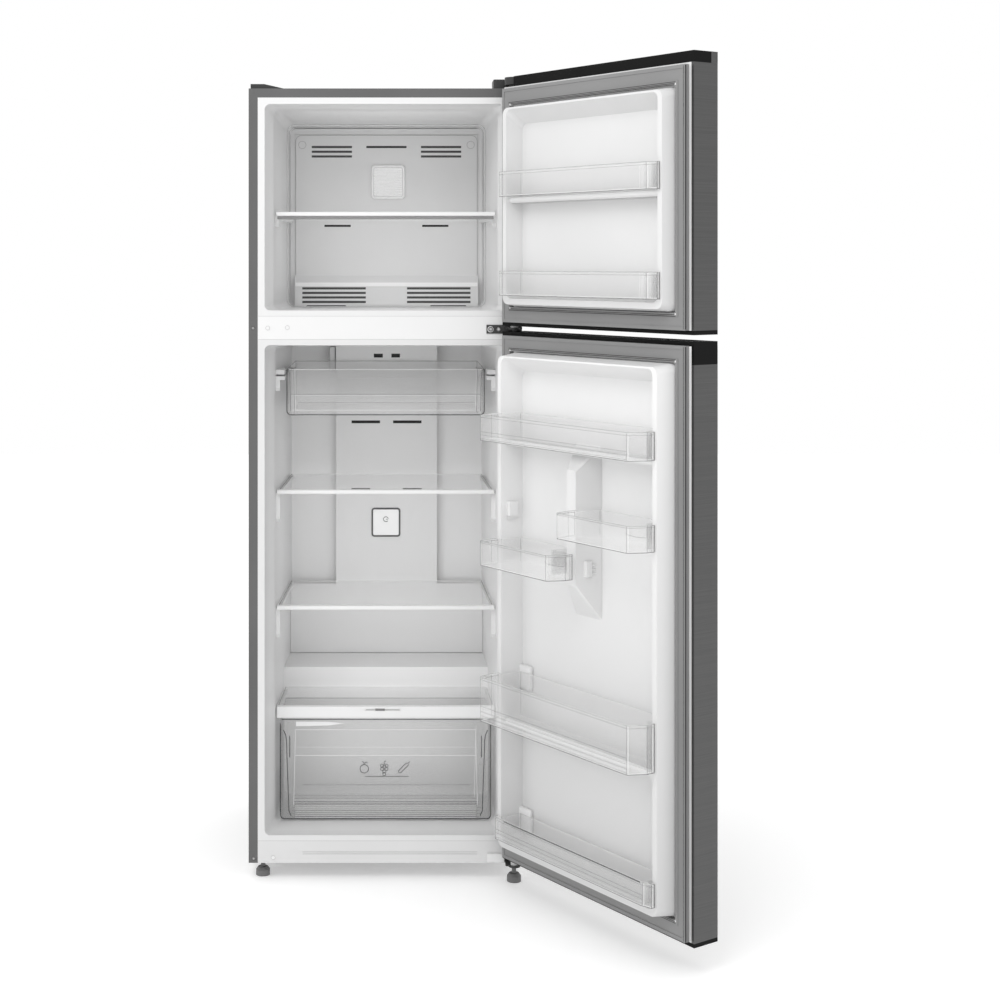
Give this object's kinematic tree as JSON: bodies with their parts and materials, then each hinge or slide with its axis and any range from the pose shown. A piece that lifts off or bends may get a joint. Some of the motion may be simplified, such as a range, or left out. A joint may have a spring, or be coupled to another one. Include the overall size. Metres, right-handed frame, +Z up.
{
  "type": "top freezer refrigerator",
  "caption": "Free-standing refrigerator with a freezer compartment on top, shelves, drawers and two right-hinged doors with lift-off bins.",
  "frame": {"origin": "centre of the cabinet's footprint, on the floor that its feet and rollers stand on", "axes": "+Z up, -Y towards the user in front of the doors, +X to the user's right, where the door hinges are"},
  "size_m": [0.9384, 1.0846, 1.757],
  "materials": {
    "cabinet_steel": "satin, fine pebbled paint on sheet steel",
    "door_steel": "dark brushed sheet, grain across the door",
    "galvanised_steel": "matte galvanised sheet",
    "insulating_foam": null,
    "white_liner": "satin vacuum-formed plastic",
    "white_trim": "satin moulded plastic",
    "pale_panel": "satin moulded plastic",
    "compressor_paint": "satin",
    "mount_rubber": "matte",
    "dark_plastic": "satin moulded plastic",
    "cap_plastic": "satin moulded plastic",
    "copper_pipe": "drawn tube",
    "coil_aluminium": "plain",
    "badge_trim": "satin plate in a grey rim",
    "lamp_lens": "milky",
    "hinge_steel": "satin black coat",
    "screw_steel": "zinc plated",
    "foot_plastic": "matte moulded plastic",
    "shelf_glass": "clear toughened glass",
    "shelf_trim": "satin moulded plastic",
    "slider_grey": "matte",
    "clear_plastic": "clear moulded plastic",
    "gasket_rubber": "matte grey seal"
  },
  "bodies": {
    "cabinet": {"outer_shell": "cabinet_steel", "back_panel": "galvanised_steel", "cabinet_foam": "insulating_foam", "freezer_liner": "white_liner", "fridge_liner": "white_liner", "mullion_cover": "white_trim", "base_panel": "white_trim", "base_plate": "galvanised_steel", "compressor": "compressor_paint", "compressor_mounts": "mount_rubber", "drain_pan": "dark_plastic", "machine_cover": "galvanised_steel", "mains_inlet": "dark_plastic", "refrigerant_pipes": "copper_pipe", "evaporator": "coil_aluminium", "fan_motor": "dark_plastic", "freezer_back_cover": "pale_panel", "trim_badges": "badge_trim", "air_duct": "pale_panel", "duct_lamp": "lamp_lens", "top_hinge": "hinge_steel", "middle_hinge": "hinge_steel", "bottom_hinge": "hinge_steel", "hinge_bushes": "white_trim", "hinge_screws": "screw_steel", "hole_plugs": "white_trim", "top_covers": "dark_plastic"},
    "fan_blade": {"fan_blade": "white_trim"},
    "left_foot": {"left_foot": "foot_plastic"},
    "right_foot": {"right_foot": "foot_plastic"},
    "left_roller": {"left_roller": "foot_plastic"},
    "right_roller": {"right_roller": "foot_plastic"},
    "freezer_shelf": {"freezer_shelf_glass": "shelf_glass", "freezer_shelf_trim": "shelf_trim"},
    "upper_shelf": {"upper_shelf_glass": "shelf_glass", "upper_shelf_trim": "shelf_trim"},
    "lower_shelf": {"lower_shelf_glass": "shelf_glass", "lower_shelf_trim": "shelf_trim"},
    "crisper_cover": {"crisper_cover_glass": "shelf_glass", "crisper_cover_trim": "shelf_trim"},
    "humidity_slider": {"humidity_slider": "slider_grey"},
    "crisper_drawer": {"crisper_drawer": "clear_plastic"},
    "chiller_drawer": {"chiller_drawer": "clear_plastic"},
    "freezer_door": {"freezer_door_skin": "door_steel", "freezer_door_caps": "cap_plastic", "freezer_door_liner": "white_liner", "freezer_door_foam": "insulating_foam", "freezer_door_gasket": "gasket_rubber"},
    "fridge_door": {"fridge_door_skin": "door_steel", "fridge_door_caps": "cap_plastic", "fridge_door_liner": "white_liner", "fridge_door_foam": "insulating_foam", "fridge_door_gasket": "gasket_rubber"},
    "freezer_bin_upper": {"freezer_bin_upper": "clear_plastic"},
    "freezer_bin_lower": {"freezer_bin_lower": "clear_plastic"},
    "fridge_bin_top": {"fridge_bin_top": "clear_plastic"},
    "fridge_half_bin_upper": {"fridge_half_bin_upper": "clear_plastic"},
    "fridge_half_bin_lower": {"fridge_half_bin_lower": "clear_plastic"},
    "fridge_bottle_bin": {"fridge_bottle_bin": "clear_plastic"},
    "fridge_bin_bottom": {"fridge_bin_bottom": "clear_plastic"}
  },
  "joints": [
    {"name": "freezer_door_hinge", "type": "hinge", "parent": "cabinet", "child": "freezer_door", "pos_m": [0.281, -0.3125, 1.45], "axis": [0, 0, 1], "range_deg": [-124, 0]},
    {"name": "fridge_door_hinge", "type": "hinge", "parent": "cabinet", "child": "fridge_door", "pos_m": [0.281, -0.3125, 0.6], "axis": [0, 0, 1], "range_deg": [-124, 0]},
    {"name": "freezer_bin_upper_lift", "type": "slide", "parent": "freezer_door", "child": "freezer_bin_upper", "axis": [0, 0, 1], "range_m": [0, 0.025]},
    {"name": "freezer_bin_lower_lift", "type": "slide", "parent": "freezer_door", "child": "freezer_bin_lower", "axis": [0, 0, 1], "range_m": [0, 0.025]},
    {"name": "fridge_bin_top_lift", "type": "slide", "parent": "fridge_door", "child": "fridge_bin_top", "axis": [0, 0, 1], "range_m": [0, 0.025]},
    {"name": "fridge_half_bin_upper_lift", "type": "slide", "parent": "fridge_door", "child": "fridge_half_bin_upper", "axis": [0, 0, 1], "range_m": [0, 0.025]},
    {"name": "fridge_half_bin_lower_lift", "type": "slide", "parent": "fridge_door", "child": "fridge_half_bin_lower", "axis": [0, 0, 1], "range_m": [0, 0.025]},
    {"name": "fridge_bottle_bin_lift", "type": "slide", "parent": "fridge_door", "child": "fridge_bottle_bin", "axis": [0, 0, 1], "range_m": [0, 0.025]},
    {"name": "fridge_bin_bottom_lift", "type": "slide", "parent": "fridge_door", "child": "fridge_bin_bottom", "axis": [0, 0, 1], "range_m": [0, 0.025]},
    {"name": "freezer_shelf_slide", "type": "slide", "parent": "cabinet", "child": "freezer_shelf", "axis": [0, -1, 0], "range_m": [0, 0.3]},
    {"name": "upper_shelf_slide", "type": "slide", "parent": "cabinet", "child": "upper_shelf", "axis": [0, -1, 0], "range_m": [0, 0.18]},
    {"name": "lower_shelf_slide", "type": "slide", "parent": "cabinet", "child": "lower_shelf", "axis": [0, -1, 0], "range_m": [0, 0.18]},
    {"name": "crisper_cover_slide", "type": "slide", "parent": "cabinet", "child": "crisper_cover", "axis": [0, -1, 0], "range_m": [0, 0.12]},
    {"name": "humidity_slide", "type": "slide", "parent": "crisper_cover", "child": "humidity_slider", "axis": [1, 0, 0], "range_m": [-0.022, 0.034]},
    {"name": "crisper_drawer_slide", "type": "slide", "parent": "cabinet", "child": "crisper_drawer", "axis": [0, -1, 0], "range_m": [0, 0.17]},
    {"name": "chiller_drawer_slide", "type": "slide", "parent": "cabinet", "child": "chiller_drawer", "axis": [0, -1, 0], "range_m": [0, 0.19]},
    {"name": "left_foot_turn", "type": "hinge", "parent": "cabinet", "child": "left_foot", "pos_m": [-0.271, -0.245, 0.02], "axis": [0, 0, 1], "continuous": true},
    {"name": "right_foot_turn", "type": "hinge", "parent": "cabinet", "child": "right_foot", "pos_m": [0.282, -0.286, 0.02], "axis": [0, 0, 1], "continuous": true},
    {"name": "left_roller_roll", "type": "hinge", "parent": "cabinet", "child": "left_roller", "pos_m": [-0.262, 0.22, 0.015], "axis": [1, 0, 0], "continuous": true},
    {"name": "right_roller_roll", "type": "hinge", "parent": "cabinet", "child": "right_roller", "pos_m": [0.262, 0.22, 0.015], "axis": [1, 0, 0], "continuous": true},
    {"name": "fan_spin", "type": "hinge", "parent": "cabinet", "child": "fan_blade", "pos_m": [0, 0.144, 1.59], "axis": [0, 1, 0], "continuous": true}
  ]
}
